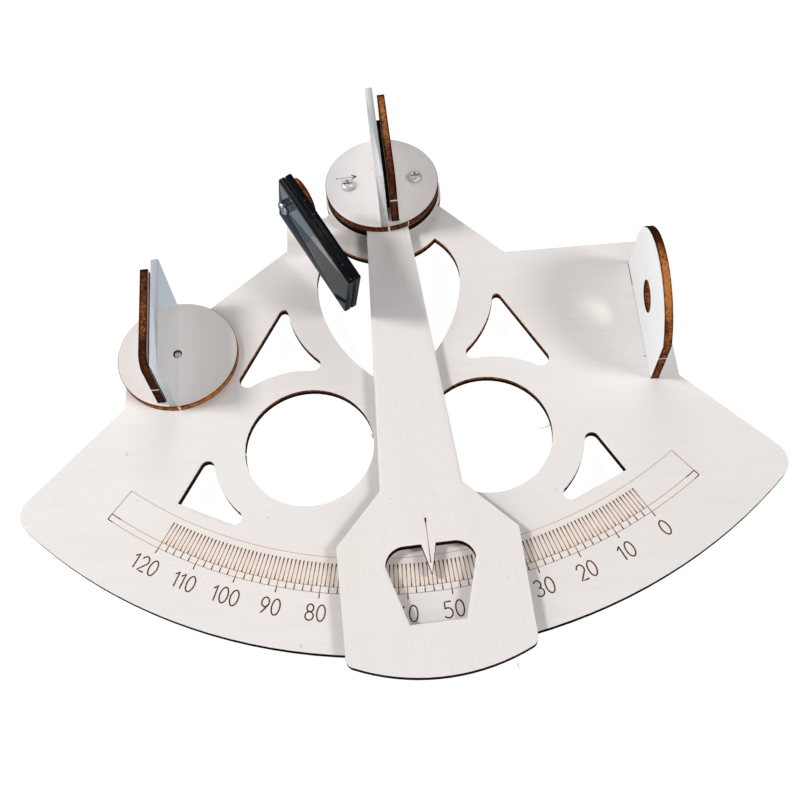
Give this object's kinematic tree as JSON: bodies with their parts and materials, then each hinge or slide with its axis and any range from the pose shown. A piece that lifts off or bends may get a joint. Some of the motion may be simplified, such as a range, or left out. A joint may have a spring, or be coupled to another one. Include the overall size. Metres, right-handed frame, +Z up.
{
  "type": "nautical sextant",
  "caption": "Flat plywood sextant with a sector frame and degree scale, a swinging index arm, index and horizon mirrors, a peep sight and tinted shades on a post.",
  "frame": {"origin": "bottom centre of the whole sextant's bounding box, lying flat with the index arm at its stored reading", "axes": "+X from the horizon mirror's side towards the peep sight, +Y from the scale towards the index arm's pivot, +Z up out of the frame plate's face, towards the mirrors"},
  "size_m": [0.2354, 0.1946, 0.0509],
  "materials": {
    "plywood": "matte",
    "mirror_glass": "polished",
    "foam_tape": "matte",
    "tinted_acrylic": "gloss",
    "steel": "satin"
  },
  "bodies": {
    "frame": {"frame_plate": "plywood", "peep_sight_plate": "plywood", "shade_post": "plywood", "shade_screw": "steel", "shade_washer": "steel"},
    "arm_assembly": {"index_arm": "plywood", "index_disc": "plywood", "arm_spacer": "plywood", "pivot_hub": "plywood", "pivot_retaining_disc": "plywood", "index_screws": "steel", "index_washers": "steel", "index_nuts": "steel", "index_mirror": "mirror_glass", "index_mirror_tape": "foam_tape", "index_mirror_support": "plywood"},
    "horizon_assembly": {"horizon_disc": "plywood", "horizon_mirror": "mirror_glass", "horizon_mirror_tape": "foam_tape", "horizon_mirror_support": "plywood", "horizon_pivot_screw": "steel", "horizon_pivot_washer": "steel"},
    "front_shade": {"shade_front": "tinted_acrylic"},
    "rear_shade": {"shade_rear": "tinted_acrylic"}
  },
  "joints": [
    {"name": "index_arm_swing", "type": "hinge", "parent": "frame", "child": "arm_assembly", "pos_m": [0, 0.07687, 0.0094], "axis": [0, 0, 1], "range_deg": [-32, 27]},
    {"name": "horizon_disc_turn", "type": "hinge", "parent": "frame", "child": "horizon_assembly", "pos_m": [-0.0705, 0.01507, 0.0094], "axis": [0, 0, 1], "continuous": true},
    {"name": "front_shade_swing", "type": "hinge", "parent": "frame", "child": "front_shade", "pos_m": [-0.03097, 0.05143, 0.0379], "axis": [-0.8616, -0.5075, 0], "range_deg": [0, 195]},
    {"name": "rear_shade_swing", "type": "hinge", "parent": "frame", "child": "rear_shade", "pos_m": [-0.03097, 0.05143, 0.0379], "axis": [-0.8616, -0.5075, 0], "range_deg": [0, 195]}
  ]
}
